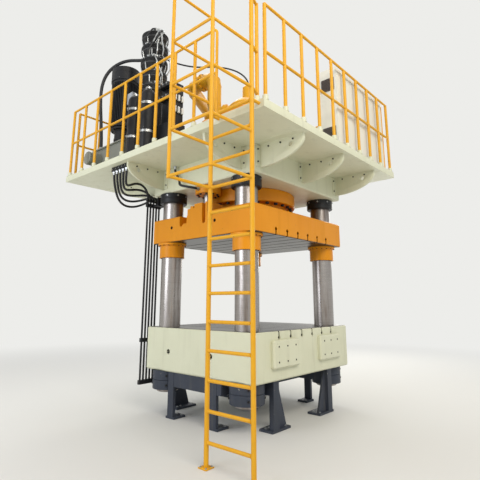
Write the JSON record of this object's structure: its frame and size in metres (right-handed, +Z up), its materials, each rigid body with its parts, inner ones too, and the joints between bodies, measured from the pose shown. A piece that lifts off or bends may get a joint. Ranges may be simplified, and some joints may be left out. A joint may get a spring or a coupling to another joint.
{
  "type": "hydraulic press",
  "caption": "Four-column hydraulic press with a T-slotted bed and slide, a hung main cylinder, and a railed service deck with pump set, cabinet and caged ladder.",
  "frame": {"origin": "on the floor at the middle of the footprint", "axes": "+Z up, -Y towards the front of the press, -X towards the ladder side"},
  "size_m": [4.4574, 4.58, 6.36],
  "materials": {
    "cream_paint": "pale green-cream enamel",
    "orange_paint": "orange enamel",
    "yellow_paint": "yellow enamel",
    "slate_paint": "slate blue enamel",
    "black_oxide": "blacked steel",
    "ground_steel": "ground and oiled",
    "black_paint": "black enamel",
    "hose_rubber": "black hose cover",
    "cabinet_white": "off-white powder coat",
    "fan_plastic": "moulded black",
    "tank_grey": "grey enamel"
  },
  "bodies": {
    "press": {"base_frame": "slate_paint", "bed": "cream_paint", "column_back_left": "ground_steel", "column_back_right": "ground_steel", "column_front_left": "ground_steel", "column_front_right": "ground_steel", "bed_nut_back_left": "slate_paint", "bed_nut_back_right": "slate_paint", "bed_nut_front_left": "slate_paint", "bed_nut_front_right": "slate_paint", "crown_lower_nut_back_left": "black_oxide", "crown_lower_nut_back_right": "black_oxide", "crown_lower_nut_front_left": "black_oxide", "crown_lower_nut_front_right": "black_oxide", "crown_upper_nut_back_left": "black_oxide", "crown_upper_nut_back_right": "black_oxide", "crown_upper_nut_front_left": "black_oxide", "crown_upper_nut_front_right": "black_oxide", "crown": "cream_paint", "main_cylinder": "orange_paint", "gland_ring": "orange_paint", "return_cylinder_left": "orange_paint", "return_cylinder_right": "orange_paint", "ejector_cylinder": "slate_paint", "deck": "cream_paint", "ladder": "yellow_paint", "ladder_cage": "yellow_paint", "guard_rail_left": "yellow_paint", "guard_rail_front": "yellow_paint", "guard_rail_right": "yellow_paint", "guard_rail_back": "yellow_paint", "oil_tank": "tank_grey", "pump_motor_1": "black_paint", "pump_motor_2": "black_paint", "prefill_valve": "yellow_paint", "suction_pipe": "yellow_paint", "valve_manifold": "black_paint", "accumulator_1": "black_paint", "accumulator_2": "black_paint", "cabinet": "cabinet_white", "hose_bundle": "hose_rubber", "riser_pipes": "slate_paint", "crown_hose": "hose_rubber", "pilot_hose": "hose_rubber", "pump_hose": "hose_rubber"},
    "slide_group": {"slide": "orange_paint", "main_ram": "ground_steel", "return_rod_left": "ground_steel", "return_rod_right": "ground_steel", "guide_bush_back_left": "orange_paint", "guide_bush_back_right": "orange_paint", "guide_bush_front_left": "orange_paint", "guide_bush_front_right": "orange_paint"},
    "ejector": {"ejector_rod": "ground_steel"},
    "left_door": {"cabinet_door_left": "cabinet_white"},
    "right_door": {"cabinet_door_right": "cabinet_white"},
    "left_handle": {"door_handle_left": "black_oxide"},
    "right_handle": {"door_handle_right": "black_oxide"},
    "fan_1": {"motor_fan_1": "fan_plastic"},
    "fan_2": {"motor_fan_2": "fan_plastic"}
  },
  "joints": [
    {"name": "slide_travel", "type": "slide", "parent": "press", "child": "slide_group", "axis": [0, 0, 1], "range_m": [-0.9, 0.05]},
    {"name": "ejector_lift", "type": "slide", "parent": "press", "child": "ejector", "axis": [0, 0, 1], "range_m": [0, 0.25]},
    {"name": "left_door_hinge", "type": "hinge", "parent": "press", "child": "left_door", "pos_m": [0.49866, -1.8747, 4.6953], "axis": [0, 0, 1], "range_deg": [0, 110]},
    {"name": "right_door_hinge", "type": "hinge", "parent": "press", "child": "right_door", "pos_m": [2.09866, -1.8747, 4.6953], "axis": [0, 0, -1], "range_deg": [0, 90]},
    {"name": "left_handle_turn", "type": "hinge", "parent": "left_door", "child": "left_handle", "pos_m": [1.22566, -1.8744, 4.6953], "axis": [0, 1, 0], "range_deg": [0, 90]},
    {"name": "right_handle_turn", "type": "hinge", "parent": "right_door", "child": "right_handle", "pos_m": [1.37166, -1.8744, 4.6953], "axis": [0, -1, 0], "range_deg": [0, 90]},
    {"name": "fan_1_spin", "type": "hinge", "parent": "press", "child": "fan_1", "pos_m": [-0.82134, 1.55, 5.8276], "axis": [0, 0, 1], "continuous": true},
    {"name": "fan_2_spin", "type": "hinge", "parent": "press", "child": "fan_2", "pos_m": [-0.11134, 1.55, 5.8276], "axis": [0, 0, 1], "continuous": true}
  ]
}
